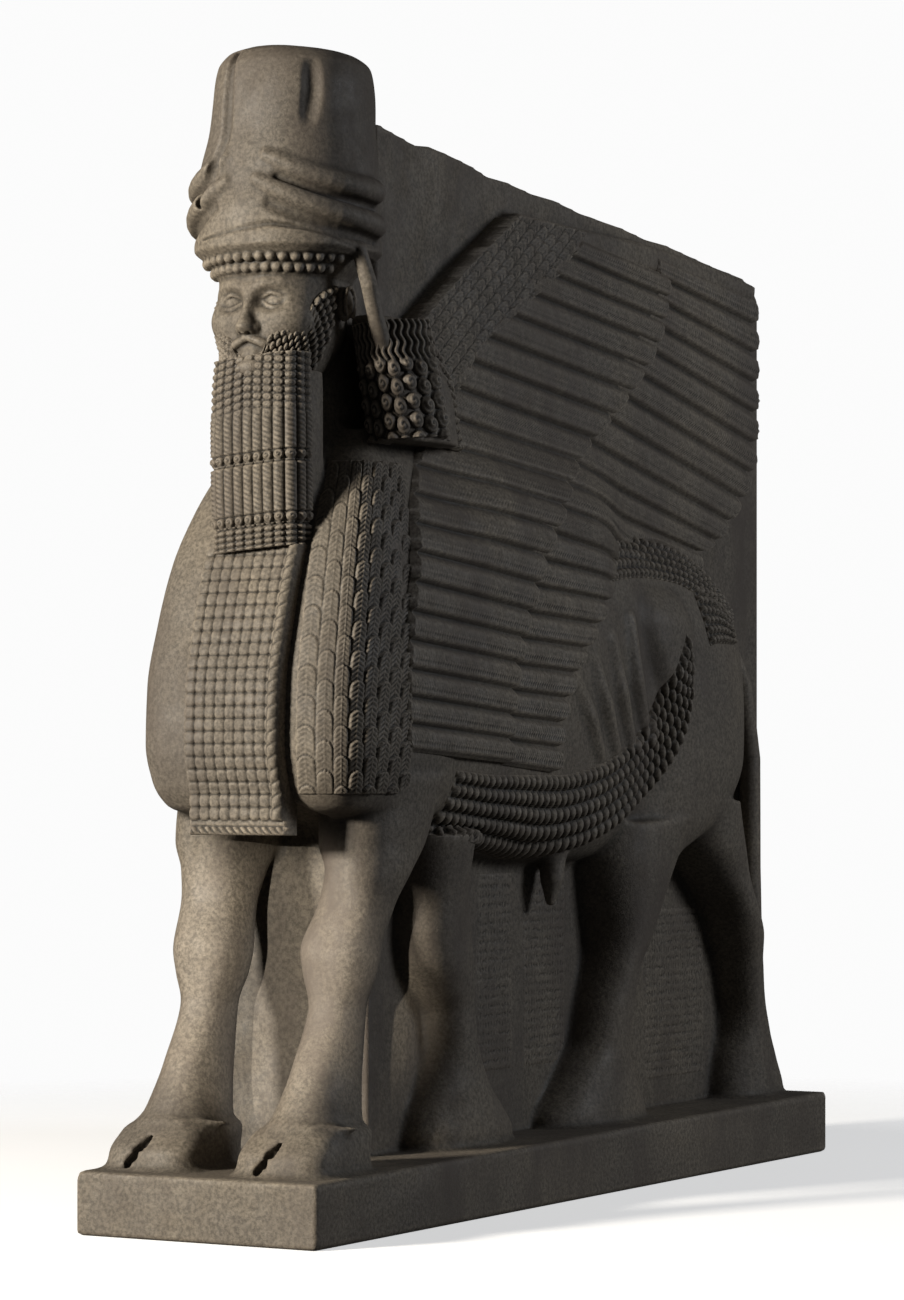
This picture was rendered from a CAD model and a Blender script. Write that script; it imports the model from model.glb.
"""Winged bull gateway sculpture, dressed: one block of grey-brown stone, carved in the round at its
front and in high relief on its left flank. Metres. The bull faces -Y, the carved flank is +X, Z is up."""
import math

import bpy
import numpy as np
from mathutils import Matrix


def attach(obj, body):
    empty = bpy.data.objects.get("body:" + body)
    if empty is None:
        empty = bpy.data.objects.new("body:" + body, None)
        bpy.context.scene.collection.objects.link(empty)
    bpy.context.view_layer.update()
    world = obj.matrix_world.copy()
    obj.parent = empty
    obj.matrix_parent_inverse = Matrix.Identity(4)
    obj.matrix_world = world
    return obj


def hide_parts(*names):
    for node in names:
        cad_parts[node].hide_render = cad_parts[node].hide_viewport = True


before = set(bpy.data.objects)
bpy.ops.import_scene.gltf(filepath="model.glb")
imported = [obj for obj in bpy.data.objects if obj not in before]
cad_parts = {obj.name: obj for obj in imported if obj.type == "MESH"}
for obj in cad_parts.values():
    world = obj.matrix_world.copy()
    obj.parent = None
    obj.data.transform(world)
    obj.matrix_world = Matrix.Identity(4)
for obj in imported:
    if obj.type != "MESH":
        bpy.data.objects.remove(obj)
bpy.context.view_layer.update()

import openvdb
from mathutils import Vector

# The block
# One upright slab of stone and the low plinth left under it. It was squared in the quarry, and all that
# follows is cut from it, so it is held as one field of distances to the surface until the last limb is in.


class Stone:
    """Distances to the stone's surface on a grid of cells: negative inside it, positive outside."""

    def __init__(self, low, high, cell):
        self.cell = cell
        self.low = np.array(low)
        self.axes = [np.arange(a, b, cell, dtype=np.float32) for a, b in zip(low, high)]
        self.field = np.full([len(axis) for axis in self.axes], 0.2, np.float32)

    def within(self, low, high):
        cut = tuple(
            slice(int(np.searchsorted(axis, a)), int(np.searchsorted(axis, b)))
            for axis, a, b in zip(self.axes, low, high)
        )
        x, y, z = [axis[part] for axis, part in zip(self.axes, cut)]
        return cut, (x[:, None, None], y[None, :, None], z[None, None, :])

    def add(self, form, blend):
        shape, low, high = form
        cut, place = self.within(low, high)
        self.field[cut] = joined(self.field[cut], shape(*place), blend)

    def carve(self, form, blend):
        shape, low, high = form
        cut, place = self.within(low, high)
        self.field[cut] = -joined(-self.field[cut], shape(*place), blend)


def joined(a, b, blend):
    """The nearer of two surfaces, with the crease between them filled over the width of the blend."""
    near = np.maximum(blend - np.abs(a - b), 0) / blend
    return np.minimum(a, b) - near * near * (blend / 4)


AROUND = 0.06  # how far past its own edge a form is worked out, so that blends have room


def through(rows, level):
    """Values of a table at the given levels, on a smooth curve that never swings past its rows."""
    rows = np.asarray(rows, float)
    at, values = rows[:, 0], rows[:, 1:]
    step = np.diff(at)[:, None]
    rise = np.diff(values, axis=0) / step
    product = rise[1:] * rise[:-1]
    lean = np.zeros_like(values)
    lean[0], lean[-1] = rise[0], rise[-1]
    total = np.where(np.abs(rise[1:] + rise[:-1]) < 1e-9, 1, rise[1:] + rise[:-1])
    lean[1:-1] = np.where(product > 0, 2 * product / total, 0)
    level = np.clip(np.asarray(level, float), at[0], at[-1])
    i = np.clip(np.searchsorted(at, level) - 1, 0, len(at) - 2)
    t = ((level - at[i]) / step[i, 0])[..., None]
    width = step[i]
    held = (1 + 2 * t) * (1 - t) ** 2 * values[i] + t * t * (3 - 2 * t) * values[i + 1]
    bend = t * (1 - t) ** 2 * lean[i] - t * t * (1 - t) * lean[i + 1]
    return np.moveaxis(held + bend * width, -1, 0)


half_width = 0.369
half_length = 1.55
plinth_top = (0.168, 0.190)
relief_ground = 0.130
slab_front = [(0.10, -0.900), (2.10, -0.900), (2.30, -0.850), (3.00, -0.850)]
slab_back = 1.545
slab_top = [
    (-0.850, 2.957), (-0.700, 2.936), (-0.640, 2.926), (-0.560, 2.934), (-0.440, 2.924), (-0.330, 2.912),
    (-0.230, 2.893), (-0.120, 2.892), (0.030, 2.878), (0.170, 2.876), (0.330, 2.858), (0.600, 2.846),
    (0.760, 2.830), (0.900, 2.828), (1.210, 2.800), (1.430, 2.786), (1.500, 2.764), (1.536, 2.728),
]

stone = Stone((-0.396, -1.584, -0.027), (0.396, 1.584, 3.15), 0.009)


def slab(x, y, z):
    top = np.interp(y, *zip(*slab_top))
    front = np.interp(z, *zip(*slab_front))
    edges = [x - relief_ground, -half_width - x, front - y, y - slab_back, z - top, 0.10 - z]
    result = edges[0]
    for edge in edges[1:]:
        result = -joined(-result, -edge, 0.012)
    return result


def plinth(x, y, z):
    top = np.interp(y, (-half_length, half_length), plinth_top)
    worn = 0.62 * (z - top) + 0.62 * (-1.545 - y) + 0.48 * (-0.345 - x)
    edges = [x - half_width, -half_width - x, -half_length - y, y - half_length, z - top, -z, worn - 0.004]
    result = edges[0]
    for edge in edges[1:]:
        result = -joined(-result, -edge, 0.010)
    return result


stone.add((slab, (-0.4, -1.0, 0.04), (0.2, 1.6, 3.02)), 0.01)
stone.add((plinth, (-0.4, -1.6, -0.03), (0.4, 1.6, 0.26)), 0.004)

# Trunk
# The barrel, the haunch and the broad chest, of the same stone. The chest fills the width of the block
# and is hollowed below into an arch between the front legs.


def oval(across, deep, half_across, half_deep, power):
    """Distance to a rounded section, from a true ellipse at power 2 to nearly a box at power 8."""
    a = np.abs(across) / half_across + 1e-4
    b = np.abs(deep) / half_deep + 1e-4
    reach = (a**power + b**power) ** (1 / power)
    slope = np.hypot(a ** (power - 1) / half_across, b ** (power - 1) / half_deep) * reach ** (1 - power)
    return (reach - 1) / slope


def upright(rows, power):
    """A standing form. Each row: height, centre x, centre y, half width, half depth, maybe its own power."""
    rows = [row if len(row) == 6 else (*row, power) for row in rows]
    table = np.asarray(rows)
    foot, head = rows[0][0], rows[-1][0]

    def shape(x, y, z):
        centre_x, centre_y, half_x, half_y, own = through(table, z)
        side = oval(x - centre_x, y - centre_y, half_x, half_y, own)
        return np.maximum(side, np.maximum(foot - z, z - head))

    low = [(table[:, k] - table[:, k + 2]).min() - AROUND for k in (1, 2)]
    high = [(table[:, k] + table[:, k + 2]).max() + AROUND for k in (1, 2)]
    return shape, (*low, foot - AROUND), (*high, head + AROUND)


def lengthwise(rows, power):
    """A form along Y. Each row: y, reach in X from the middle plane, underside, top."""
    table = np.asarray(rows)

    def shape(x, y, z):
        reach, under, top = through(table, y)
        side = oval(x, z - (under + top) / 2, reach, (top - under) / 2, power)
        return np.maximum(side, np.maximum(table[0, 0] - y, y - table[-1, 0]))

    low = (-table[:, 1].max() - AROUND, table[0, 0] - AROUND, table[:, 2].min() - AROUND)
    high = (table[:, 1].max() + AROUND, table[-1, 0] + AROUND, table[:, 3].max() + AROUND)
    return shape, low, high


barrel_power = 3.6
barrel = [
    (-1.060, 0.318, 1.140, 1.950), (-0.700, 0.326, 0.990, 1.960), (-0.290, 0.316, 0.962, 1.940),
    (0.060, 0.308, 0.934, 1.925), (0.250, 0.304, 0.938, 1.915), (0.440, 0.300, 0.995, 1.915),
    (0.640, 0.285, 1.100, 1.910), (0.900, 0.250, 1.200, 1.850),
]
haunch_power = 2.3
haunch = [
    (0.930, 0.080, 0.500, 0.200, 0.190), (1.000, 0.080, 0.600, 0.232, 0.300),
    (1.080, 0.080, 0.700, 0.255, 0.400), (1.250, 0.080, 0.770, 0.266, 0.480),
    (1.430, 0.080, 0.775, 0.260, 0.492), (1.620, 0.080, 0.780, 0.240, 0.465),
    (1.760, 0.080, 0.750, 0.205, 0.390), (1.860, 0.080, 0.690, 0.165, 0.290),
    (1.925, 0.080, 0.640, 0.110, 0.150),
]
chest_power = 5
chest_x = -0.009
chest_back = -0.700
chest = [
    (1.080, 0.240, -1.190), (1.115, 0.308, -1.286), (1.180, 0.336, -1.326), (1.280, 0.348, -1.345),
    (1.430, 0.347, -1.338), (1.600, 0.335, -1.300), (1.760, 0.316, -1.250), (1.900, 0.285, -1.180),
    (2.020, 0.245, -1.100), (2.120, 0.190, -1.020),
]
leg_arch = (0.030, 1.020, 0.185, 0.135)

stone.add(lengthwise(barrel, barrel_power), 0.03)
stone.add(upright(haunch, haunch_power), 0.03)


def chest_form(x, y, z):
    half, front = through(chest, z)
    side = oval(x - chest_x, y - (front + chest_back) / 2, half, (chest_back - front) / 2, chest_power)
    trunk = np.maximum(side, np.maximum(chest[0][0] - z, z - chest[-1][0]))
    arch = oval(x - leg_arch[0], z - leg_arch[1], leg_arch[2], leg_arch[3], 2)
    return -joined(-trunk, arch, 0.02)


stone.add((chest_form, (-0.396, -1.42, 1.02), (0.396, -0.64, 2.18)), 0.03)

# Front legs
# A pair cut free at the corners of the block, each on a wide cloven hoof, with a knobbed knee and the
# tendons standing out behind the shank. They are rubbed smoother than the rest.


def cord(points, radii):
    """A round ridge of the given radii along the given points."""
    points = np.asarray(points, float)
    widest = max(radii) + AROUND

    def shape(x, y, z):
        nearest = None
        for a, b, at_a, at_b in zip(points, points[1:], radii, radii[1:]):
            run = b - a
            from_a = (x - a[0], y - a[1], z - a[2])
            t = sum(f * r for f, r in zip(from_a, run)) / (run @ run)
            t = np.clip(t, 0, 1)
            gap = np.sqrt(sum((f - t * r) ** 2 for f, r in zip(from_a, run))) - (at_a + (at_b - at_a) * t)
            nearest = gap if nearest is None else np.minimum(nearest, gap)
        return nearest

    return shape, points.min(axis=0) - widest, points.max(axis=0) + widest


def knob(centre, radii):
    """A rounded lump with its own radius along X, Y and Z."""

    def shape(x, y, z):
        scaled = [(p - c) / r for p, c, r in zip((x, y, z), centre, radii)]
        reach = np.sqrt(sum(s * s for s in scaled)) + 1e-6
        slope = np.sqrt(sum((s / r) ** 2 for s, r in zip(scaled, radii))) / reach + 1e-6
        return (reach - 1) / slope

    low = [c - r - AROUND for c, r in zip(centre, radii)]
    high = [c + r + AROUND for c, r in zip(centre, radii)]
    return shape, low, high


hoof_power = 4
leg_power = 2.4
front_leg = [
    (0.150, -1.325, 0.142, 0.168, hoof_power), (0.215, -1.318, 0.138, 0.162, hoof_power),
    (0.268, -1.282, 0.126, 0.148, hoof_power), (0.300, -1.262, 0.104, 0.140, leg_power),
    (0.350, -1.240, 0.088, 0.132, leg_power), (0.440, -1.205, 0.072, 0.118, leg_power),
    (0.590, -1.154, 0.066, 0.088, leg_power), (0.675, -1.140, 0.090, 0.100, leg_power),
    (0.740, -1.135, 0.100, 0.108, leg_power), (0.850, -1.095, 0.094, 0.104, leg_power),
    (0.945, -1.050, 0.098, 0.135, leg_power), (1.020, -1.000, 0.116, 0.175, leg_power),
    (1.190, -0.960, 0.132, 0.205, leg_power),
]
leg_x = 0.200
leg_shift = [(0.760, -0.010, -0.010), (0.945, -0.030, 0.022), (1.020, -0.048, 0.004), (1.190, -0.030, 0.004)]

for side in (-1, 1):
    rows = []
    for height, *rest in front_leg:
        shift = through(leg_shift, height)[0 if side < 0 else 1]
        rows.append((height, side * leg_x + shift, *rest))
    stone.add(upright(rows, leg_power), 0.03)
    stone.carve(cord([
        (side * leg_x - 0.050, -1.475, 0.180), (side * leg_x - 0.020, -1.455, 0.225),
        (side * leg_x + 0.006, -1.405, 0.272),
    ], [0.014, 0.016, 0.005]), 0.008)
    stone.add(cord([
        (side * leg_x - 0.128, -1.30, 0.287), (side * leg_x - 0.06, -1.395, 0.290),
        (side * leg_x + 0.06, -1.395, 0.290), (side * leg_x + 0.128, -1.30, 0.287),
    ], [0.008] * 4), 0.02)

# Side legs
# The striding fore leg and the two hind legs, in relief on the flank, of the same stone, with their
# hooves on the plinth and the recesses between them cut back to the face of the slab.

striding_leg = [
    (0.150, -0.477, 0.250, 0.140), (0.206, -0.477, 0.250, 0.140), (0.272, -0.490, 0.212, 0.130),
    (0.324, -0.500, 0.164, 0.120), (0.390, -0.509, 0.122, 0.112), (0.471, -0.522, 0.088, 0.110),
    (0.548, -0.537, 0.086, 0.110), (0.611, -0.567, 0.108, 0.120), (0.696, -0.608, 0.136, 0.132),
    (0.765, -0.624, 0.140, 0.134), (0.860, -0.640, 0.122, 0.140), (1.040, -0.660, 0.150, 0.170),
]
hind_leg = [
    (0.150, 0.306, 0.290, 0.150), (0.200, 0.306, 0.286, 0.150), (0.285, 0.319, 0.217, 0.142),
    (0.340, 0.322, 0.166, 0.138), (0.423, 0.345, 0.112, 0.136), (0.538, 0.373, 0.098, 0.140),
    (0.639, 0.401, 0.086, 0.150), (0.712, 0.437, 0.106, 0.162), (0.831, 0.466, 0.156, 0.178),
    (0.949, 0.500, 0.215, 0.190), (1.060, 0.560, 0.270, 0.195),
]
rear_leg = [
    (0.150, 1.356, 0.186, 0.145), (0.207, 1.356, 0.184, 0.142), (0.304, 1.343, 0.150, 0.132),
    (0.396, 1.331, 0.098, 0.128), (0.491, 1.306, 0.070, 0.130), (0.618, 1.270, 0.072, 0.140),
    (0.714, 1.232, 0.088, 0.158), (0.795, 1.170, 0.090, 0.166), (0.875, 1.100, 0.118, 0.170),
    (0.980, 1.010, 0.170, 0.185), (1.120, 0.930, 0.220, 0.190),
]
side_leg_power = 2.5
for rows in (striding_leg, hind_leg, rear_leg):
    stone.add(upright([
        (z, relief_ground, y, reach, half_y) for z, y, half_y, reach in rows
    ], side_leg_power), 0.025)

# Neck, hip, ribs and tail
# The stone left behind the head and the beard, the plate before the thigh with its deep crease, the folds
# of the ribs, the tail down the back edge and the sheath under the belly, all cut from the block.

stone.add(upright([
    (1.850, -0.020, -0.940, 0.190, 0.190), (2.040, -0.020, -0.930, 0.140, 0.180),
    (2.400, -0.020, -0.930, 0.120, 0.170), (2.620, -0.010, -0.950, 0.120, 0.180),
    (2.930, 0.000, -0.940, 0.110, 0.170),
], 4), 0.03)
stone.add(upright([
    (1.796, 0.008, -1.188, 0.123, 0.098), (2.000, 0.008, -1.192, 0.125, 0.102),
    (2.200, 0.008, -1.193, 0.125, 0.103), (2.262, 0.008, -1.190, 0.122, 0.100),
], 4), 0.02)
hair_top = 2.420
hair_foot = 2.085
hair_core = [
    (hair_foot, 0.236, -0.838, 0.088, 0.150), (hair_foot + 0.110, 0.228, -0.850, 0.090, 0.150),
    (hair_top - 0.090, 0.204, -0.880, 0.076, 0.140), (hair_top, 0.180, -0.900, 0.054, 0.120),
]
for side in (-1, 1):
    stone.add(upright([(z, side * x, *rest) for z, x, *rest in hair_core], 3), 0.02)
stone.add(upright([
    (1.430, 0.250, 0.560, 0.060, 0.060), (1.520, 0.262, 0.560, 0.082, 0.110),
    (1.640, 0.262, 0.545, 0.078, 0.140), (1.720, 0.252, 0.530, 0.060, 0.120),
    (1.765, 0.240, 0.520, 0.030, 0.070),
], 3), 0.03)
for k in range(4):
    y = 0.020 + k * 0.100
    stone.add(cord([
        (0.296, y - 0.060 + k * 0.018, 1.470 + k * 0.062), (0.306, y + 0.020, 1.370 + k * 0.034),
        (0.304, y + 0.090, 1.262 + k * 0.016),
    ], [0.016, 0.024, 0.014]), 0.03)
stone.add(cord([
    (0.150, 1.200, 1.700), (0.170, 1.340, 1.480), (0.172, 1.396, 1.250), (0.168, 1.404, 0.900),
    (0.164, 1.424, 0.560), (0.158, 1.462, 0.330), (0.150, 1.470, 0.190),
], [0.026, 0.032, 0.033, 0.034, 0.036, 0.044, 0.050]), 0.02)
stone.add(cord([(0.190, 0.040, 0.990), (0.196, 0.020, 0.900), (0.196, 0.012, 0.838)], [0.040, 0.034, 0.016]), 0.03)

# The wing's rim
# The plain raised margin that the feathers lie against, along the leading edge and the top of the wing.

wing_top = 2.795
wing_rim = [
    (-0.860, 2.100), (-0.700, 1.900), (-0.300, 2.300), (0.100, 2.700), (0.740, 2.720), (1.390, 2.700),
    (1.400, 2.752), (1.020, 2.784), (0.600, 2.800), (0.120, wing_top), (-0.160, wing_top),
    (-0.330, 2.700), (-0.500, 2.600), (-0.660, 2.490), (-0.800, 2.380),
]


def plate(outline, low_x, high_x, round_edge):
    """A flat plate of stone with the given outline in Y and Z."""
    outline = np.asarray(outline)

    def shape(x, y, z):
        y, z = np.broadcast_arrays(y, z)
        nearest = np.full(y.shape, 9.0)
        crossings = np.zeros(y.shape, int)
        for a, b in zip(outline, np.roll(outline, -1, axis=0)):
            run = b - a
            t = np.clip(((y - a[0]) * run[0] + (z - a[1]) * run[1]) / (run @ run), 0, 1)
            nearest = np.minimum(nearest, np.hypot(y - a[0] - t * run[0], z - a[1] - t * run[1]))
            above = (a[1] > z) != (b[1] > z)
            reach = a[0] + (z - a[1]) * run[0] / (run[1] if run[1] else 1e-9)
            crossings += above & (y < reach)
        edge = np.where(crossings % 2 == 1, -nearest, nearest)
        face = np.maximum(x - high_x, low_x - x)
        return -joined(-edge, -face, round_edge)

    low = (low_x - AROUND, *(outline.min(axis=0) - AROUND))
    high = (high_x + AROUND, *(outline.max(axis=0) + AROUND))
    return shape, low, high


stone.add(plate(wing_rim, 0.056, 0.196, 0.02), 0.012)

# The skin of the block
# The field becomes one closed surface, thinned where it is flat. Every hollow keeps the dust of years
# and every edge is rubbed paler, so the finish reads the depth of the carving.


def weathered_stone(name, hollow, crest):
    """The stone's finish: clouds and veins of warm and cold grey, paler crests, darker hollows, fine pits."""
    material = bpy.data.materials.new(name)
    material.use_nodes = True
    nodes, links = material.node_tree.nodes, material.node_tree.links
    shader = nodes["Principled BSDF"]
    shader.inputs["Specular IOR Level"].default_value = 0.35
    place = nodes.new("ShaderNodeTexCoord").outputs["Object"]

    def noise(scale, detail, rough, stretch=None):
        node = nodes.new("ShaderNodeTexNoise")
        node.inputs["Scale"].default_value = scale
        node.inputs["Detail"].default_value = detail
        node.inputs["Roughness"].default_value = rough
        source = place
        if stretch:
            mapping = nodes.new("ShaderNodeMapping")
            mapping.inputs["Scale"].default_value = stretch
            links.new(place, mapping.inputs["Vector"])
            source = mapping.outputs["Vector"]
        links.new(source, node.inputs["Vector"])
        return node.outputs["Fac"]

    def ramp(value, *stops):
        node = nodes.new("ShaderNodeValToRGB")
        band = node.color_ramp
        while len(band.elements) < len(stops):
            band.elements.new(0.5)
        for element, (position, colour) in zip(band.elements, stops):
            element.position = position
            element.color = (*colour, 1) if isinstance(colour, tuple) else (colour, colour, colour, 1)
        links.new(value, node.inputs["Fac"])
        return node.outputs["Color"]

    def blended(kind, amount, first, second):
        node = nodes.new("ShaderNodeMix")
        node.data_type = "RGBA"
        node.blend_type = kind
        for value, socket in ((amount, node.inputs[0]), (first, node.inputs[6]), (second, node.inputs[7])):
            if hasattr(value, "links"):
                links.new(value, socket)
            else:
                socket.default_value = value
        return node.outputs[2]

    clouds = ramp(noise(1.7, 6, 0.62), (0.34, (0.118, 0.102, 0.084)), (0.52, (0.152, 0.130, 0.102)),
                  (0.68, (0.178, 0.150, 0.114)))
    speckle = ramp(noise(95, 4, 0.7), (0.38, 0.55), (0.62, 1.15))
    colour = blended("MULTIPLY", 1.0, clouds, speckle)
    stain = ramp(noise(3.1, 5, 0.7, (1, 1, 0.35)), (0.46, 0.0), (0.70, 1.0))
    colour = blended("MIX", stain, colour, (0.085, 0.070, 0.058, 1))
    geometry = nodes.new("ShaderNodeNewGeometry")
    wear = ramp(geometry.outputs["Pointiness"], (0.47, hollow), (0.50, 1.0), (0.54, crest))
    colour = blended("MULTIPLY", 1.0, colour, wear)
    links.new(colour, shader.inputs["Base Color"])
    rough = ramp(noise(11, 5, 0.6), (0.35, 0.52), (0.7, 0.80))
    links.new(rough, shader.inputs["Roughness"])
    pits = nodes.new("ShaderNodeBump")
    pits.inputs["Strength"].default_value = 0.55
    pits.inputs["Distance"].default_value = 0.004
    links.new(noise(70, 8, 0.72), pits.inputs["Height"])
    links.new(pits.outputs["Normal"], shader.inputs["Normal"])
    return material


block_finish = weathered_stone("block_stone", 0.45, 1.35)


def new_piece(name, points, faces, finish):
    mesh = bpy.data.meshes.new(name)
    mesh.from_pydata(points, [], faces)
    mesh.update()
    mesh.shade_smooth()
    mesh.materials.append(finish)
    piece = bpy.data.objects.new(name, mesh)
    bpy.context.collection.objects.link(piece)
    return piece


def outer_skin(points, faces):
    """The largest closed skin, without the tiny pockets that a carving can shut inside the stone."""
    after = np.roll(faces, -1, axis=1)
    group = np.arange(len(points))
    while True:
        lowest = np.minimum(group[faces], group[after])
        linked = group.copy()
        np.minimum.at(linked, group[faces], lowest)
        np.minimum.at(linked, group[after], lowest)
        linked = linked[linked]
        if np.array_equal(linked, group):
            break
        group = linked
    kept = faces[group[faces[:, 0]] == np.bincount(group).argmax()]
    used, corners = np.unique(kept, return_inverse=True)
    return points[used], corners.reshape(kept.shape)


def cut_free(block, name, finish, most_triangles):
    """The surface of a field of stone as one closed piece of at most the given number of triangles."""
    grid = openvdb.FloatGrid(0.2)
    grid.copyFromArray(block.field)
    points, _, quads = grid.convertToPolygons(isovalue=0.0, adaptivity=0.0)
    points, quads = outer_skin(points * block.cell + block.low, np.asarray(quads, dtype=np.int64))
    piece = new_piece(name, points.tolist(), quads.tolist(), finish)
    a, b, c = (points[quads[:, k]] for k in range(3))
    if np.einsum("ij,ij->i", a, np.cross(b, c)).sum() < 0:
        piece.data.flip_normals()
    thin = piece.modifiers.new("thin", "DECIMATE")
    thin.ratio = min(1.0, most_triangles / (2 * len(quads)))
    bpy.context.view_layer.update()
    done = bpy.data.meshes.new_from_object(piece.evaluated_get(bpy.context.evaluated_depsgraph_get()))
    piece.modifiers.remove(thin)
    old, piece.data = piece.data, done
    bpy.data.meshes.remove(old)
    piece.data.name = name
    piece.data.shade_smooth()
    return piece


body = cut_free(stone, "carved_block", block_finish, 150000)
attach(body, "root")
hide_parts("winged_bull")

# Beard
# The long square beard stands before the neck as a block of its own, all of the same stone: ringlets
# like twisted ropes, parted by two double bands of round curls and ending in rows of small ones.


def carved(name, points, outward, height, deep, finish):
    """A carved skin laid on the stone: dense above, its edges and underside sunk into the block."""
    rows, columns = height.shape
    top = points + outward * height[..., None]
    sunk = (points - outward * np.broadcast_to(deep, height.shape)[..., None]).reshape(-1, 3)
    at = np.arange(rows * columns).reshape(rows, columns)
    quads = np.stack([at[:-1, :-1], at[1:, :-1], at[1:, 1:], at[:-1, 1:]], axis=-1).reshape(-1, 4)
    border = np.concatenate([at[:-1, 0], at[-1, :-1], at[:0:-1, -1], at[0, :0:-1]])
    under = rows * columns + np.arange(len(border))
    after = np.roll(under, -1)
    walls = np.stack([np.roll(border, -1), border, under, after], axis=-1)
    middle = rows * columns + len(border)
    fan = np.stack([after, under, np.full(len(border), middle)], axis=-1)
    centre = sunk[at[rows // 2, columns // 2]]
    every = np.concatenate([top.reshape(-1, 3), sunk[border], centre[None]])
    faces = quads.tolist() + walls.tolist() + fan.tolist()
    piece = new_piece(name, every.tolist(), faces, finish)
    a, b, c = (every[quads[:, k]] for k in range(3))
    facing = np.cross(b - a, c - a).sum(axis=0) @ outward.reshape(-1, 3).mean(axis=0)
    if facing < 0:
        piece.data.flip_normals()
    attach(piece, "root")
    return piece


def around(place, half_across, half_deep, power):
    """A point on a rounded section and the way out of it: place 0 is its front, 1 its corner, 2 its side."""
    side = np.sign(place)
    reach = np.abs(place)
    across, deep = np.minimum(reach, 1), 1 - np.maximum(0, reach - 1)
    size = (across**power + np.abs(deep) ** power) ** (-1 / power)
    across, deep = across * size, deep * size
    out_x, out_y = across ** (power - 1) / half_across, deep ** (power - 1) / half_deep
    length = np.hypot(out_x, out_y)
    return side * across * half_across, -deep * half_deep, side * out_x / length, -out_y / length


def curl(across, up, hand):
    """A round curl in a cell that runs from -1 to 1 both ways, with a snail groove turning into it."""
    reach = np.hypot(across, up)
    dome = np.sqrt(np.maximum(0, 1 - np.minimum(reach, 1) ** 2))
    snail = 0.5 + 0.5 * np.cos(hand * np.arctan2(up, across) + reach * 9)
    return dome * (0.78 + 0.22 * snail)


def repeat(value, pitch):
    """Which cell of a repeating pattern a place is in, and where in it, from -1 to 1."""
    number = np.floor(value / pitch)
    return number, 2 * (value / pitch - number) - 1


carving_finish = weathered_stone("carved_stone", 0.30, 1.45)

beard_x = 0.008
beard_foot = 1.790
beard_top = 2.295
beard_back = -1.090
beard_power = 4
beard = [
    (beard_foot, 0.130, -1.294), (2.000, 0.132, -1.303), (2.200, 0.132, -1.305), (beard_top, 0.128, -1.296),
]
ringlet_pitch = 0.0295

places = np.linspace(-1.85, 1.85, 260)
heights = np.linspace(beard_foot, beard_top, 200)
place, z = np.meshgrid(places, heights, indexing="ij")
half, front = through(beard, z)
half_deep = (beard_back - front) / 2
dx, dy, out_x, out_y = around(place, half, half_deep, beard_power)
points = np.stack([beard_x + dx, (front + beard_back) / 2 + dy, z + dx * 0.08], axis=-1)
outward = np.stack([out_x, out_y, 0 * z], axis=-1)
along_face = np.concatenate([[0], np.cumsum(np.hypot(np.diff(dx[:, 0]), np.diff(dy[:, 0])))])
along_face = along_face[:, None] - along_face[len(places) // 2] + 0 * z
column, across = repeat(along_face + ringlet_pitch / 2, ringlet_pitch)
rope = np.sqrt(np.maximum(0, 1 - (0.98 * across) ** 2))
twist = 0.5 + 0.5 * np.cos(2 * np.pi * (z / 0.013 + 0.55 * across))
height = 0.012 * rope + 0.0022 * twist * rope
row, up = repeat(z, 0.0155)
small = 0.013 * curl(across * 1.02, up * 1.05, 1)
height = np.where(z < 1.852, small, height)
for middle in (2.028, 1.866):
    level = (z - middle) / 0.014
    _, up = repeat(z - middle, 0.0285)
    band = 0.016 * curl(across * 1.02, np.clip(level, -1, 1), 1)
    height = np.where(np.abs(level) < 1, band, height)
    height = height - 0.010 * np.exp(-(((z - middle + 0.017) / 0.0035) ** 2))
crown = np.clip((z - 2.13) / 0.05, 0, 1)
row, up = repeat(z + 0.02 * np.abs(dx) / 0.13, 0.020)
waves = 0.011 * curl(across * 1.0, up, 1)
height = height * (1 - crown) + waves * crown
carved("beard", points, outward, height, 0.05, carving_finish)

# Head and cap
# The head and its tall cap stand in the round before the slab, still part of the block. The face is
# calm and plain, set out in equal thirds. The horns that ring the cap are worn down to soft ridges.

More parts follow.
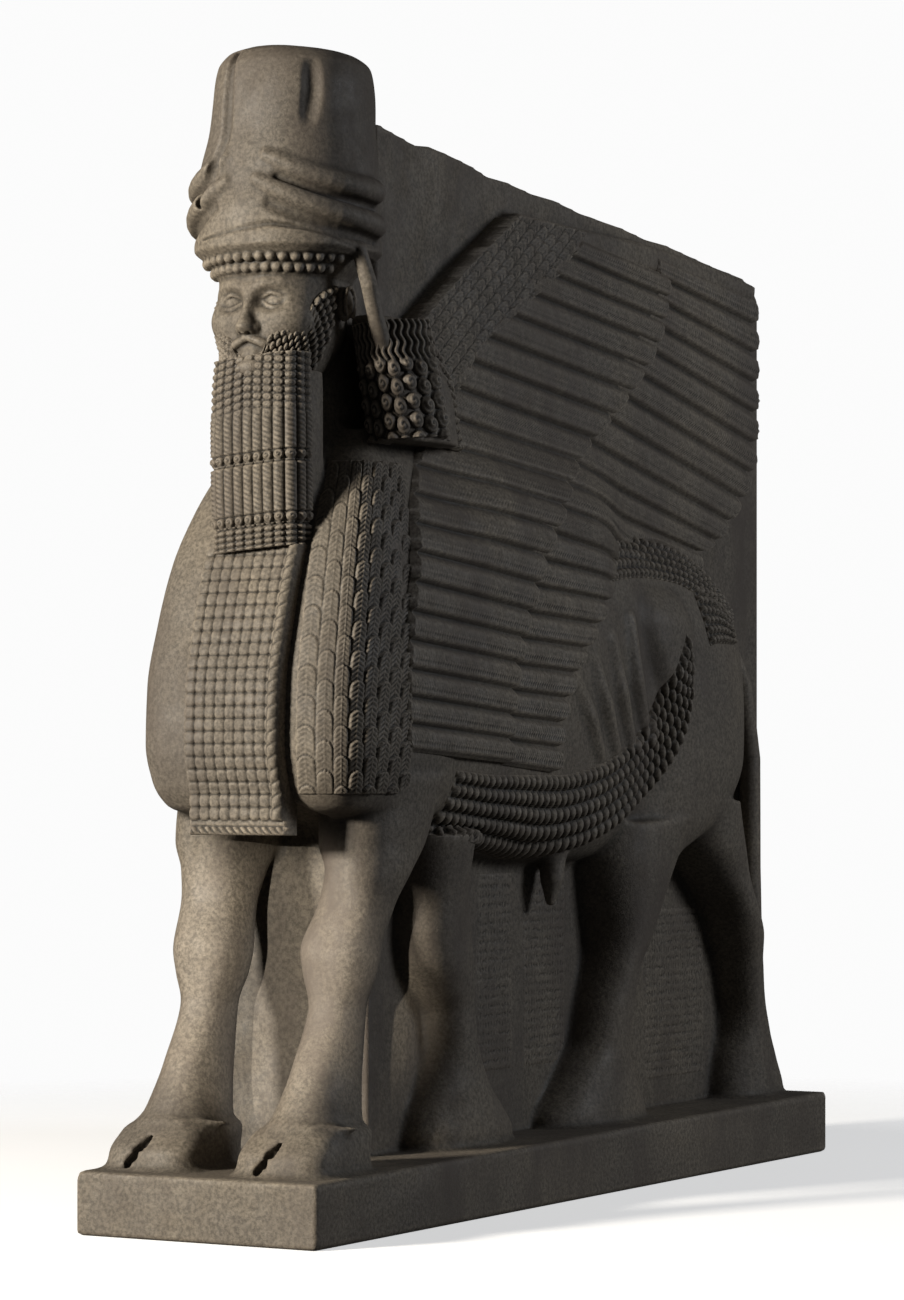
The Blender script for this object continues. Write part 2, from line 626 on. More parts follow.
head = Stone((-0.30, -1.41, 2.19), (0.30, -0.84, 3.14), 0.0037)
head_y = -1.100
chin = 2.245
cap_rim = 2.585
crown = 3.122
brow_line = chin + 0.67 * (cap_rim - chin)
nose_base = chin + 0.33 * (cap_rim - chin)
face_front = -1.292
skull_power = 2.3
skull = [
    (chin - 0.020, 0, -1.150, 0.092, 0.108), (chin + 0.055, 0, -1.135, 0.128, 0.148),
    (nose_base, 0, -1.122, 0.150, 0.168), (nose_base + 0.6 * (brow_line - nose_base), 0, -1.115, 0.158, 0.174),
    (brow_line + 0.020, 0, -1.110, 0.162, 0.180), (cap_rim + 0.040, 0, head_y, 0.160, 0.182),
]
head.add(upright(skull, skull_power), 0.01)
eye_line = brow_line - 0.034
eye_x = 0.064
for side in (-1, 1):
    head.add(knob((side * 0.082, -1.222, nose_base + 0.035), (0.062, 0.058, 0.050)), 0.05)
    head.add(cord([
        (side * 0.014, face_front + 0.010, brow_line - 0.002), (side * 0.045, face_front + 0.008, brow_line + 0.012),
        (side * 0.085, face_front + 0.026, brow_line + 0.012), (side * 0.124, face_front + 0.070, brow_line - 0.010),
    ], [0.009, 0.012, 0.011, 0.006]), 0.018)
    head.carve(knob((side * eye_x, face_front - 0.006, eye_line), (0.050, 0.036, 0.026)), 0.018)
    head.add(knob((side * eye_x, face_front + 0.048, eye_line), (0.036, 0.032, 0.024)), 0.004)
    for rise, drop_off in ((0.019, 0.004), (-0.017, 0.006)):
        lid = []
        for k in range(9):
            t = k / 4 - 1
            x = eye_x + t * 0.040
            swell = 1 - t * t
            lid.append((side * x, face_front + 0.030 - 0.014 * swell + 0.010 * max(t, 0), eye_line - drop_off * t + rise * swell))
        head.add(cord(lid, [0.0035] + [0.0048] * 7 + [0.0035]), 0.004)
head.add(upright([
    (nose_base - 0.006, 0, face_front + 0.004, 0.026, 0.030, 2), (nose_base + 0.012, 0, face_front - 0.004, 0.029, 0.038, 2),
    (nose_base + 0.040, 0, face_front + 0.006, 0.019, 0.034, 2), (brow_line - 0.040, 0, face_front + 0.014, 0.015, 0.026, 2),
    (brow_line + 0.006, 0, face_front + 0.022, 0.019, 0.022, 2),
], 2), 0.014)
for side in (-1, 1):
    head.add(knob((side * 0.025, face_front + 0.004, nose_base + 0.010), (0.013, 0.019, 0.012)), 0.006)
    head.carve(knob((side * 0.012, face_front - 0.020, nose_base - 0.006), (0.006, 0.009, 0.006)), 0.004)
for side in (-1, 1):
    head.add(cord([
        (side * 0.008, face_front - 0.002, nose_base - 0.016), (side * 0.042, face_front + 0.004, nose_base - 0.030),
        (side * 0.084, face_front + 0.036, nose_base - 0.046),
    ], [0.010, 0.011, 0.007]), 0.006)
mouth = nose_base - 0.040
for drop_off, half, thick in ((0.0, 0.046, 0.0085), (0.017, 0.040, 0.0105)):
    lip = []
    for k in range(7):
        t = k / 3 - 1
        lip.append((t * half, face_front + 0.010 + 0.016 * t * t, mouth - drop_off + 0.004 * (1 - t * t) * (1 if drop_off else -1) + 0.002))
    head.add(cord(lip, [0.003, 0.006, thick, thick, thick, 0.006, 0.003]), 0.006)
head.add(knob((0, face_front + 0.012, chin + 0.020), (0.040, 0.030, 0.028)), 0.03)

# The cap rises from a rolled rim in one tall drum. Its crown is battered and slopes to the far side.
cap_power = 2.2
cap = [
    (cap_rim - 0.022, 0.006, head_y, 0.222, 0.222), (cap_rim, 0.005, head_y, 0.243, 0.243),
    (cap_rim + 0.026, 0.004, head_y, 0.243, 0.243), (cap_rim + 0.042, 0.004, head_y, 0.241, 0.241),
    (2.700, 0.002, head_y, 0.240, 0.240), (2.800, 0.008, head_y, 0.230, 0.230),
    (2.900, 0.018, head_y, 0.214, 0.216), (3.010, 0.024, head_y, 0.206, 0.210),
    (3.066, 0.022, head_y + 0.004, 0.196, 0.202), (3.100, 0.014, head_y + 0.008, 0.164, 0.178),
    (crown, -0.012, head_y + 0.006, 0.090, 0.110),
]
head.add(upright(cap, cap_power), 0.012)


def on_cap(angle, height, lift):
    """A point on the cap, at an angle from the front of it."""
    x, y, half, _ = through([row[:5] for row in cap], height)
    return x + math.sin(angle) * (half + lift), y - math.cos(angle) * (half + lift), height


horn_end = 1.75
for side in (-1, 1):
    for tip, root, start in ((2.812, 2.735, 0.28), (2.748, 2.645, 0.20)):
        path, radii = [], []
        for k in range(11):
            t = k / 10
            dip = 0.024 * math.sin(t * math.pi)
            path.append(on_cap(side * (start + (horn_end - start) * t), tip + (root - tip) * t - dip, 0.0))
            radii.append(0.013 + 0.023 * math.sqrt(t))
        head.add(cord(path, radii), 0.014)
        below = [(x * 1.03, head_y + (y - head_y) * 1.03, z - 0.046) for x, y, z in path[1:]]
        head.carve(cord(below, [0.010 + 0.006 * math.sin(k / 9 * math.pi) for k in range(10)]), 0.020)
head.add(cord([
    (0.236, -1.120, 2.575), (0.250, -1.095, 2.490), (0.246, -1.060, 2.420), (0.240, -1.010, 2.340),
], [0.020, 0.022, 0.021, 0.026]), 0.012)

# The drum is scarred: a flute down its far side, a hollow on its near side, and a worn line at its rim.
for line, thick, lift in (
    ([(-0.40, 3.10), (-0.38, 2.97), (-0.34, 2.87), (-0.45, 2.76), (-0.60, 2.70)], 0.018, 0.009),
    ([(0.77, 3.05), (0.77, 2.98), (0.74, 2.91)], 0.034, 0.028),
    ([(-0.60, 2.603), (0.35, 2.632), (1.00, 2.612), (1.42, 2.574)], 0.006, 0.002),
):
    steps = np.linspace(0, len(line) - 1, 8 * len(line))
    angles, levels = (np.interp(steps, range(len(line)), column) for column in zip(*line))
    track = [on_cap(angle, level, lift) for angle, level in zip(angles, levels)]
    head.carve(cord(track, thick - 0.006 * np.abs(np.linspace(-1, 1, len(track))) ** 3), 0.010)
head.carve(knob((-0.215, -1.18, 3.135), (0.10, 0.16, 0.085)), 0.02)

# A fringe of small curls slopes down from the rim to the brow, and an ear stands out on each side.
head.add(upright([
    (cap_rim - 0.075, 0, -1.108, 0.166, 0.187), (cap_rim - 0.040, 0.002, -1.104, 0.196, 0.206),
    (cap_rim + 0.005, 0.005, head_y, 0.232, 0.234),
], 2.2), 0.012)
for row, (height, across, deep) in enumerate(((2.525, 0.186, 0.200), (2.552, 0.208, 0.216))):
    for k in range(-8, 9):
        angle = (k + 0.5 * row) * 0.150
        centre = (math.sin(angle) * across, head_y - math.cos(angle) * deep, height)
        head.add(knob(centre, (0.015, 0.015, 0.014)), 0.005)
for side in (-1, 1):
    head.add(knob((side * 0.172, -1.090, eye_line + 0.002), (0.022, 0.026, 0.046)), 0.010)
    head.carve(knob((side * 0.196, -1.096, eye_line + 0.006), (0.012, 0.013, 0.028)), 0.006)
    rim = []
    for k in range(9):
        turn = math.radians(-60 + k * 36)
        rim.append((side * 0.190, -1.090 + 0.026 * math.cos(turn), eye_line + 0.004 + 0.042 * math.sin(turn)))
    head.add(cord(rim, [0.0055] * 9), 0.004)
head.add(upright([
    (2.19, -0.020, -0.940, 0.125, 0.170), (2.400, -0.020, -0.930, 0.120, 0.170), (2.620, -0.010, -0.950, 0.120, 0.180),
], 4), 0.02)
head_piece = cut_free(head, "head_and_cap", block_finish, 115000)
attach(head_piece, "root")

# Cheek curls
# Small curls run in rows round the moustache and up the cheeks to the ears, larger towards the edge, in
# the same stone.

jaw_low = 2.205
jaw_line = [
    (0.00, nose_base - 0.062), (0.30, nose_base - 0.052), (0.42, nose_base - 0.012), (0.62, nose_base + 0.002),
    (1.00, nose_base + 0.026), (1.30, nose_base + 0.062), (1.65, nose_base + 0.110), (1.90, nose_base + 0.130),
]
place, v = np.meshgrid(np.linspace(-1.9, 1.9, 230), np.linspace(0, 1, 80), indexing="ij")
upper = through(jaw_line, np.abs(place))[0]
z = jaw_low + (upper - jaw_low) * v
_, middle, half, half_deep = through([row[:5] for row in skull], z)
dx, dy, out_x, out_y = around(place, half + 0.004, half_deep + 0.006, skull_power)
points = np.stack([dx, middle + dy, z], axis=-1)
outward = np.stack([out_x, out_y, 0 * z], axis=-1)
row, up = repeat(upper - z, 0.0225)
_, across = repeat(place + 0.065 * (row % 2), 0.130)
height = 0.014 * curl(across, up, 1) * (0.8 + 0.2 * np.abs(place))
carved("cheek_curls", points, outward, height, 0.03, carving_finish)

# Apron of curls
# A long strip of bead-like curls hangs down the chest from under the beard to between the legs, edged
# on its near side by a twisted lock. Its foot stands free of the stone behind.

apron_top = 1.800
apron_foot = 1.042
apron_half = 0.146
apron_free = 1.160
bead_across = 0.0310
bead_up = 0.0330
band_height = 0.040

x, z = np.meshgrid(
    np.linspace(-apron_half, apron_half, 104), np.linspace(apron_foot, apron_top, 258), indexing="ij"
)
face = through(chest, np.maximum(z, apron_free))[1] - 0.022
points = np.stack([x, face, z], axis=-1)
outward = np.zeros_like(points)
outward[..., 1] = -1
_, across = repeat(x + apron_half, bead_across)
_, up = repeat(z - apron_foot - band_height, bead_up)
beads = 0.013 * (1 - 0.30 * across**4 - 0.30 * up**4 - 0.40 * (across * up) ** 2)
near_edge = apron_half - 0.036
_, over = repeat(x - near_edge, 0.036)
_, up = repeat(z - 0.45 * x, bead_up)
lock = 0.026 * np.sqrt(np.maximum(0, 1 - over**2)) * (0.72 + 0.28 * np.sqrt(np.maximum(0, 1 - up**2)))
height = np.where(x > near_edge, lock, beads)
foot = z - apron_foot
_, slant = repeat(x + 0.8 * foot, 0.022)
twisted = 0.014 * np.sqrt(np.maximum(0, 1 - ((foot - 0.012) / 0.012) ** 2)) * (0.7 + 0.3 * np.cos(np.pi * slant))
height = np.where(foot < 0.024, twisted, np.where(foot < band_height, 0.006, height))
carved("apron_of_curls", points, outward, height, 0.055, carving_finish)

# Breast feathers
# Columns of short feathers on the near corner of the chest, cut as round-topped tongues that point up,
# each with a rib down its middle and slanting barbs.


def chest_skin(place, z):
    half, front = through(chest, z)
    dx, dy, out_x, out_y = around(place, half, (chest_back - front) / 2, chest_power)
    middle = (front + chest_back) / 2
    return np.stack([chest_x + dx, middle + dy, z], axis=-1), np.stack([out_x, out_y, 0 * z], axis=-1)


def tongue(across, up, ribs):
    """A short feather in its cell: across from -1 to 1, up from 0 at its root to 1 at its round tip."""
    tip = 1 - 0.42 * (1 - np.sqrt(np.maximum(0, 1 - np.minimum(np.abs(across), 1) ** 2)))
    over = up > tip
    own = np.where(over, up - tip, up + 1 - tip)
    swell = 0.25 + 0.75 * np.clip(own, 0, 1)
    edge = 1 - np.abs(across) ** 8
    rib = 0.12 * np.exp(-((across / 0.09) ** 2))
    barbs = 0.09 * np.cos(2 * np.pi * (ribs * up + 1.3 * np.abs(across)))
    return np.where(over, 0.25, swell * edge + rib + barbs)


feather_columns = 8
feather_up = 0.078
place, z = np.meshgrid(np.linspace(0.54, 1.96, 170), np.linspace(1.150, 2.030, 240), indexing="ij")
points, outward = chest_skin(place, z)
number, across = repeat(place - 0.54, 1.42 / feather_columns)
_, up = repeat(z + 0.5 * feather_up * (number % 2), feather_up)
flat_front = 0.35 + 0.65 * np.clip((place - 0.85) / 0.3, 0, 1)
height = 0.016 * flat_front * tongue(across, (up + 1) / 2, 6)
carved("breast_feathers", points, outward, height, 0.05, carving_finish)

# Wing
# Two tiers of long feathers fan from nearly level at the belly to steep at the top of the wing. Every
# feather has a groove beside it, a raised edge, a shaft and fine barbs, and ends in a blunt round tip.


def smooth_step(low, high, value):
    t = np.clip((value - low) / (high - low), 0, 1)
    return t * t * (3 - 2 * t)


def wing_skin(y, z):
    """How far out the wing's field lies: it swells where it crosses the shoulder."""
    full = 1.880 + (1.700 - 1.880) * smooth_step(-0.450, -0.800, y)
    shoulder = smooth_step(2.200, full, z) * smooth_step(0.520, 0.060, y)
    breast = smooth_step(2.100, 1.800, z) * smooth_step(-0.300, -0.800, y)
    return 0.190 + (0.318 - 0.190) * shoulder + 0.012 * breast


feather_rise = 0.014
barb_pitch = 0.013
outer_tier = [
    (-0.500, 1.228, -0.165, 1.205), (-0.500, 1.296, -0.155, 1.275), (-0.490, 1.364, -0.140, 1.345),
    (-0.480, 1.434, -0.105, 1.415), (-0.460, 1.506, -0.055, 1.488), (-0.440, 1.580, 0.005, 1.560),
    (-0.415, 1.654, 0.080, 1.630), (-0.385, 1.730, 0.160, 1.700), (-0.350, 1.808, 0.245, 1.762),
    (-0.310, 1.890, 0.345, 1.820), (-0.250, 1.975, 0.990, 1.806), (-0.160, 2.055, 1.000, 1.885),
    (-0.030, 2.130, 1.120, 1.925), (0.090, 2.205, 1.210, 1.990), (0.210, 2.280, 1.300, 2.065),
    (0.330, 2.354, 1.370, 2.150), (0.440, 2.426, 1.390, 2.245), (0.540, 2.498, 1.395, 2.342),
    (0.620, 2.568, 1.395, 2.438), (0.680, 2.638, 1.395, 2.532), (0.700, 2.705, 1.395, 2.624),
    (0.700, 2.770, 1.390, 2.712),
]
inner_tier = [
    (-1.050, 1.262, -0.470, 1.232), (-1.055, 1.334, -0.470, 1.298), (-1.055, 1.406, -0.462, 1.366),
    (-1.050, 1.478, -0.450, 1.436), (-1.040, 1.554, -0.425, 1.508), (-1.030, 1.630, -0.395, 1.580),
    (-1.010, 1.708, -0.355, 1.654), (-0.985, 1.788, -0.310, 1.732), (-0.950, 1.868, -0.260, 1.812),
    (-0.900, 1.950, -0.200, 1.890), (-0.830, 2.032, -0.110, 1.964), (-0.740, 2.108, 0.000, 2.036),
    (-0.655, 2.186, 0.130, 2.108), (-0.580, 2.266, 0.265, 2.182), (-0.490, 2.345, 0.390, 2.260),
    (-0.390, 2.422, 0.500, 2.340), (-0.270, 2.497, 0.600, 2.420), (-0.150, 2.570, 0.680, 2.498),
    (-0.030, 2.638, 0.720, 2.572), (0.110, 2.700, 0.745, 2.644), (0.200, 2.756, 0.755, 2.712),
]
across_feather = (0, 0.04, 0.10, 0.18, 0.28, 0.38, 0.46, 0.54, 0.64, 0.76, 0.87, 0.95)


def feather_tier(name, rows, lift, tip, stations):
    table = np.asarray(rows)
    lines = [i + w for i in range(len(rows) - 1) for w in across_feather] + [len(rows) - 1]
    lines = np.array(lines)
    root_y, root_z, tip_y, tip_z = (np.interp(lines, np.arange(len(rows)), table[:, k])[:, None] for k in range(4))
    within = (lines % 1)[:, None]
    length = np.hypot(tip_y - root_y, tip_z - root_z)
    cut = tip * (1 - np.sqrt(np.maximum(0, 1 - (2 * within - 1) ** 2)))
    t = np.linspace(0, 1, stations)[None, :]
    run = t * (length - cut)
    y = root_y + (tip_y - root_y) * run / length
    z = root_z + (tip_z - root_z) * run / length
    back = smooth_step(0, 0.20, within) * smooth_step(1, 0.70, within)
    edge = 0.20 * np.exp(-(((within - 0.20) / 0.07) ** 2))
    shaft = 0.16 * np.exp(-(((within - 0.46) / 0.05) ** 2))
    slant = np.abs(within - 0.46) * 0.035
    barbs = 0.10 * np.cos(2 * np.pi * (run + slant) / barb_pitch) * smooth_step(0.06, 0.2, within)
    height = feather_rise * (back * (1 + barbs) + edge + shaft)
    x = wing_skin(y, z) + lift
    points = np.stack([x, y, z], axis=-1)
    outward = np.zeros_like(points)
    outward[..., 0] = 1
    return carved(name, points, outward, height, x - 0.085, carving_finish)


feather_tier("outer_feathers", outer_tier, 0.0, 0.040, 190)
feather_tier("inner_feathers", inner_tier, 0.012, 0.022, 170)

# Scale feathers
# Small slanting scales cover the wing's leading edge, from the shoulder to its upper corner.

covert_front = [(2.080, -0.800), (2.250, -0.820), (2.400, -0.790), (2.600, -0.500), (2.780, -0.200)]
covert_back = [
    (2.080, -0.640), (2.250, -0.560), (2.400, -0.410), (2.540, -0.150), (2.640, 0.040), (2.780, 0.210),
]
scale_pitch = 0.040
u, z = np.meshgrid(np.linspace(0, 1, 90), np.linspace(2.090, 2.780, 190), indexing="ij")
front_y = np.interp(z, *zip(*covert_front))
back_y = np.interp(z, *zip(*covert_back))
y = front_y + (back_y - front_y) * u
points = np.stack([0 * y + 0.208, y, z], axis=-1)
outward = np.zeros_like(points)
outward[..., 0] = 1
number, across = repeat(0.62 * y - 0.78 * z, scale_pitch)
_, up = repeat(0.78 * y + 0.62 * z + 0.5 * 0.05 * (number % 2), 0.05)
height = 0.011 * tongue(across, (up + 1) / 2, 3)
carved("wing_scales", points, outward, height, 0.09, carving_finish)

# Curl bands
# Rows of small curls under the belly and up before the thigh, over the rump, and in a hanging patch
# behind the hip. They stand like drops, each with a point below.


def flank_reach(block):
    """How far the stone reaches in +X, for every y and z of the field."""
    inside = block.field < 0
    last = inside.shape[0] - 1 - np.argmax(inside[::-1], axis=0)
    last = np.minimum(last, inside.shape[0] - 2)
    at = np.take_along_axis(block.field, last[None], 0)[0]
    past = np.take_along_axis(block.field, last[None] + 1, 0)[0]
    return block.low[0] + block.cell * (last + at / np.minimum(at - past, -1e-6))


reach_map = flank_reach(stone)


def on_flank(y, z, lift):
    """Points on the flank's own surface, and the way out of it."""

    def sample(y, z):
        j = np.clip((y - stone.low[1]) / stone.cell, 0, reach_map.shape[0] - 1.001)
        k = np.clip((z - stone.low[2]) / stone.cell, 0, reach_map.shape[1] - 1.001)
        j0, k0 = j.astype(int), k.astype(int)
        s, t = j - j0, k - k0
        below = reach_map[j0, k0] * (1 - s) + reach_map[j0 + 1, k0] * s
        above = reach_map[j0, k0 + 1] * (1 - s) + reach_map[j0 + 1, k0 + 1] * s
        return below * (1 - t) + above * t

    step = 0.02
    x = (sample(y, z) * 2 + sample(y + step, z) + sample(y - step, z) + sample(y, z + step) + sample(y, z - step)) / 6
    lean_y = (sample(y + step, z) - sample(y - step, z)) / (2 * step)
    lean_z = (sample(y, z + step) - sample(y, z - step)) / (2 * step)
    outward = np.stack([np.ones_like(x), -np.clip(lean_y, -1.5, 1.5), -np.clip(lean_z, -1.5, 1.5)], axis=-1)
    outward /= np.linalg.norm(outward, axis=-1, keepdims=True)
    return np.stack([x, y, z], axis=-1) + outward * lift, outward


def drop(across, up):
    """A curl shaped like a drop, round above and pointed below."""
    narrow = 0.55 + 0.45 * np.clip(up + 0.6, 0, 1)
    reach = np.hypot(across / narrow, up)
    return np.sqrt(np.maximum(0, 1 - np.minimum(reach, 1) ** 2))


def curl_field(name, corners, columns, rows, samples, rise):
    """A field of drops between a lower and an upper line, each given as points in Y and Z."""
    lower, upper = corners
    u, v = np.meshgrid(np.linspace(0, 1, columns * samples + 1), np.linspace(0, 1, rows * samples + 1), indexing="ij")

    def on_line(line):
        line = np.asarray(line)
        far = np.concatenate([[0], np.cumsum(np.hypot(*np.diff(line, axis=0).T))])
        return through(np.column_stack([far / far[-1], line]), u)

    low_y, low_z = on_line(lower)
    high_y, high_z = on_line(upper)
    points, outward = on_flank(low_y + (high_y - low_y) * v, low_z + (high_z - low_z) * v, 0.004)
    number, across = repeat(u * columns, 1)
    _, up = repeat(np.clip(v * rows, 0, rows - 1e-6), 1)
    return carved(name, points, outward, rise * drop(across * 1.02, up * 1.02), 0.05, carving_finish)


belly_low = [
    (-0.807, 1.038), (-0.548, 1.007), (-0.371, 0.985), (-0.196, 0.965), (0.028, 0.984), (0.221, 1.033),
    (0.375, 1.111), (0.479, 1.184), (0.600, 1.330), (0.640, 1.440),
]
belly_high = [
    (-0.743, 1.212), (-0.492, 1.199), (-0.143, 1.199), (0.102, 1.228), (0.291, 1.287), (0.420, 1.376),
    (0.499, 1.475), (0.560, 1.560), (0.590, 1.600), (0.600, 1.620),
]
curl_field("belly_curls", (belly_low, belly_high), 44, 5, 9, 0.018)
rump_low = [(0.240, 1.762), (0.360, 1.777), (0.479, 1.782), (0.640, 1.775), (0.800, 1.735), (0.980, 1.640)]
rump_high = [(0.197, 1.914), (0.356, 1.922), (0.578, 1.898), (0.740, 1.870), (0.912, 1.793), (1.060, 1.700)]
curl_field("rump_curls", (rump_low, rump_high), 26, 5, 8, 0.015)
patch_low = [(0.795, 1.590), (0.871, 1.600), (1.000, 1.600)]
patch_high = [(0.745, 1.775), (0.870, 1.760), (0.985, 1.690)]
curl_field("hip_ringlets", (patch_low, patch_high), 8, 6, 8, 0.015)

# Hair
# A mass of hair falls on each shoulder: waved strands above, then columns of round curls, and smaller
# slanting curls behind, which run out over the root of the wing.


def hair_mass(name, side):
    u, z = np.meshgrid(np.linspace(0, 1, 130), np.linspace(hair_foot - 0.006, hair_top - 0.030, 120), indexing="ij")
    v = (z - z[0, 0]) / (z[0, -1] - z[0, 0])
    angle = -0.45 + 2.05 * u
    centre_x, centre_y = 0.236 - 0.030 * v, -0.832 - 0.044 * v
    lean = np.stack([side * np.sin(angle), -np.cos(angle), 0 * z], axis=-1)
    x = side * (centre_x + np.sin(angle) * (0.102 - 0.012 * v))
    y = centre_y - np.cos(angle) * 0.170
    points = np.stack([x, y, z + 0.026 * u], axis=-1)
    number, across = repeat(u, 1 / 7)
    _, up = repeat(z + 0.25 * 0.05 * (number % 2), 0.050)
    knobs = 0.022 * curl(across, up, 1)
    waves = 0.010 * (0.5 + 0.5 * np.cos(2 * np.pi * (u * 14 + 0.22 * np.sin(2 * np.pi * z / 0.045))))
    upper = smooth_step(0.62, 0.70, v)
    return carved(name, points, lean, knobs * (1 - upper) + waves * upper, 0.06, carving_finish)


hair_mass("near_hair", 1)
hair_mass("far_hair", -1)

u, v = np.meshgrid(np.linspace(0, 1, 60), np.linspace(0, 1, 70), indexing="ij")
front = np.stack([0.334 - 0.032 * v, -0.850 - 0.040 * v, hair_foot + 0.014 + (hair_top - 0.044 - hair_foot) * v], axis=-1)
back = np.stack([0.240 - 0.040 * v, -0.585 + 0 * v, hair_foot + (hair_top - 0.140 - hair_foot) * v], axis=-1)
points = front + (back - front) * u[..., None]
outward = np.zeros_like(points)
outward[..., 0] = 1
number, across = repeat(u + 0.1 * v, 1 / 7)
_, up = repeat(v * 9 + 0.5 * (number % 2) + 1.1 * u, 1)
carved("shoulder_curls", points, outward, 0.015 * drop(across, up), 0.15, carving_finish)

# Inscription
# Columns of cut signs stand on the face of the slab between the legs. Here they are rows of short
# strokes, a few millimetres deep, that spell nothing.


def rows_of_strokes(name, low_y, high_y, low_z, high_z, seed):
    step = 0.0036
    y, z = np.meshgrid(np.arange(low_y, high_y, step), np.arange(low_z, high_z, step), indexing="ij")
    pick = np.random.RandomState(seed)
    column, across = repeat(y - low_y, 0.016)
    line, up = repeat(z - low_z, 0.026)
    column, line = column.astype(int), line.astype(int)
    shape = (column.max() + 1, line.max() + 1)
    turn = pick.choice([0.0, 1.57, 0.6, -0.6, 1.57], shape)[column, line]
    depth = pick.uniform(0.3, 1.0, shape)[column, line]
    shift = pick.uniform(-0.3, 0.3, shape)[column, line]
    local_y, local_z = across * 0.008, (up * 0.013) + shift * 0.006
    along_stroke = local_y * np.cos(turn) + local_z * np.sin(turn)
    off_stroke = -local_y * np.sin(turn) + local_z * np.cos(turn)
    groove = depth * np.exp(-((off_stroke / 0.0028) ** 2)) * (np.abs(along_stroke) < 0.0075) * (np.abs(up) < 0.86)
    rim = np.minimum(np.minimum(y - low_y, high_y - y), np.minimum(z - low_z, high_z - z))
    height = 0.0028 - 0.0030 * groove - 0.006 * smooth_step(0.020, 0, rim)
    points = np.stack([0 * y + relief_ground, y, z], axis=-1)
    outward = np.zeros_like(points)
    outward[..., 0] = 1
    return carved(name, points, outward, height, 0.02, block_finish)


rows_of_strokes("inscription_fore", -0.310, -0.090, 0.350, 0.930, 5)
rows_of_strokes("inscription_middle", -0.040, 0.230, 0.350, 0.930, 6)
rows_of_strokes("inscription_rear", 0.730, 1.150, 0.260, 0.800, 7)

# Floor, light and camera
# A pale studio floor that fades into the white behind it. One lamp before the front, on the plain side,
# leaves the carved flank to a weak lamp behind it, and a narrow beam reaches in between the front legs.

floor_mesh = bpy.data.meshes.new("floor")
floor_mesh.from_pydata([(-9, -9, 0), (9, -9, 0), (9, 9, 0), (-9, 9, 0)], [], [(0, 1, 2, 3)])
floor = bpy.data.objects.new("floor", floor_mesh)
bpy.context.collection.objects.link(floor)
floor.visible_diffuse = False
floor.visible_glossy = False
pale = bpy.data.materials.new("pale_floor")
pale.use_nodes = True
tree = pale.node_tree
paint = tree.nodes["Principled BSDF"]
paint.inputs["Base Color"].default_value = (0.80, 0.80, 0.80, 1)
paint.inputs["Roughness"].default_value = 0.9
paint.inputs["Emission Color"].default_value = (1, 1, 1, 1)
paint.inputs["Emission Strength"].default_value = 0.52
spread = tree.nodes.new("ShaderNodeTexGradient")
spread.gradient_type = "SPHERICAL"
ground = tree.nodes.new("ShaderNodeTexCoord")
shrink = tree.nodes.new("ShaderNodeMapping")
shrink.inputs["Scale"].default_value = (1 / 6.0, 1 / 6.0, 1 / 6.0)
fade = tree.nodes.new("ShaderNodeMapRange")
fade.inputs["From Min"].default_value = 0.25
fade.inputs["From Max"].default_value = 0.62
tree.links.new(ground.outputs["Object"], shrink.inputs["Vector"])
tree.links.new(shrink.outputs["Vector"], spread.inputs["Vector"])
tree.links.new(spread.outputs["Fac"], fade.inputs["Value"])
tree.links.new(fade.outputs["Result"], paint.inputs["Alpha"])
floor_mesh.materials.append(pale)


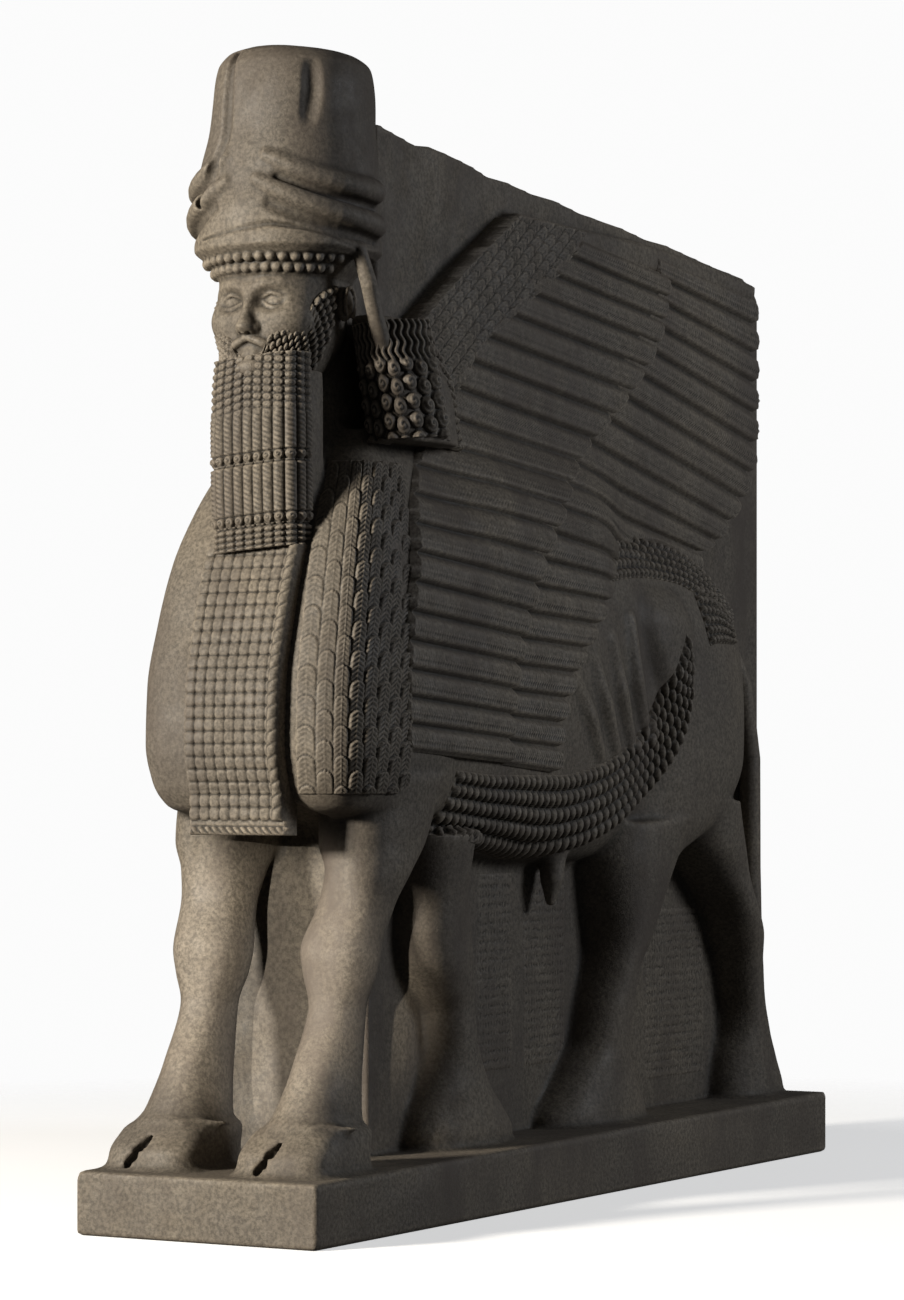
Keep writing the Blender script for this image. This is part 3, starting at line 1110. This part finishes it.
def lamp(name, kind, place, aim, size, power, colour):
    light = bpy.data.lights.new(name, kind)
    light.energy = power
    light.color = colour
    if kind == "AREA":
        light.size = size
    else:
        light.shadow_soft_size = 0.06
        light.spot_size = size
        light.spot_blend = 0.6
    holder = bpy.data.objects.new(name, light)
    holder.location = place
    holder.rotation_euler = (Vector(aim) - Vector(place)).to_track_quat("-Z", "Y").to_euler()
    bpy.context.collection.objects.link(holder)


lamp("key", "AREA", (-5.0, -11.0, 4.2), (0, -1.0, 1.6), 1.6, 2600, (1.0, 0.93, 0.82))
lamp("flank_fill", "AREA", (9.0, 3.5, 4.5), (0.2, 0.2, 1.4), 3.0, 330, (0.90, 0.94, 1.0))
lamp("between_legs", "SPOT", (3.3, -10.0, 1.75), (-0.15, -0.9, 0.62), math.radians(5.2), 5200, (1.0, 0.93, 0.82))

world = bpy.data.worlds.new("studio")
bpy.context.scene.world = world
world.use_nodes = True
shine = world.node_tree.nodes["Background"]
shine.inputs["Strength"].default_value = 0.035
shine.inputs["Color"].default_value = (1, 1, 1, 1)
white = world.node_tree.nodes.new("ShaderNodeBackground")
white.inputs["Color"].default_value = (0.97, 0.97, 0.97, 1)
seen = world.node_tree.nodes.new("ShaderNodeLightPath")
choice = world.node_tree.nodes.new("ShaderNodeMixShader")
world.node_tree.links.new(seen.outputs["Is Camera Ray"], choice.inputs["Fac"])
world.node_tree.links.new(shine.outputs["Background"], choice.inputs[1])
world.node_tree.links.new(white.outputs["Background"], choice.inputs[2])
world.node_tree.links.new(choice.outputs["Shader"], world.node_tree.nodes["World Output"].inputs["Surface"])

photo_height = 1300
focal_pixels = 4000
rise_pixels = 125
view_turn = math.radians(29.68)
looking = Vector((-math.sin(view_turn), math.cos(view_turn), 0))
camera_data = bpy.data.cameras.new("photo_camera")
camera_data.sensor_fit = "VERTICAL"
camera_data.sensor_height = 36
camera_data.lens = focal_pixels / photo_height * 36
camera_data.shift_y = rise_pixels / photo_height
camera_data.clip_end = 100
camera = bpy.data.objects.new("photo_camera", camera_data)
camera.location = (5.64296, -10.11638, 1.199)
camera.rotation_euler = looking.to_track_quat("-Z", "Y").to_euler()
bpy.context.collection.objects.link(camera)
bpy.context.scene.camera = camera
bpy.context.scene.view_settings.view_transform = "Standard"
